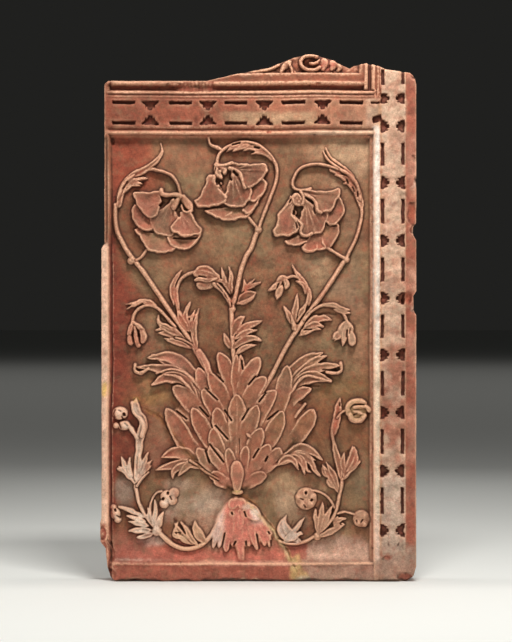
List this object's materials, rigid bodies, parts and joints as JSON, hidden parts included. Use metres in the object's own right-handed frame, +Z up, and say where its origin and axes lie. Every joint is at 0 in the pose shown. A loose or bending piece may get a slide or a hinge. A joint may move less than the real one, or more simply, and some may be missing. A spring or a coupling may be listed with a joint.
{
  "type": "stone relief panel",
  "caption": "Carved red sandstone dado panel with nodding poppies over a leaf clump, in a moulded frame with a cartouche chain; worn, chipped and mended.",
  "frame": {"origin": "on the flat back face, on the panel's middle line at half its height", "axes": "+X to the right as the carved face is looked at, +Y out of the back face towards the wall, +Z up"},
  "size_m": [0.76, 0.09, 1.268],
  "materials": {
    "sandstone": "weathered, matt, with pale worn edges and brown patina"
  },
  "bodies": {
    "root": {"relief_panel": "sandstone"}
  },
  "joints": []
}
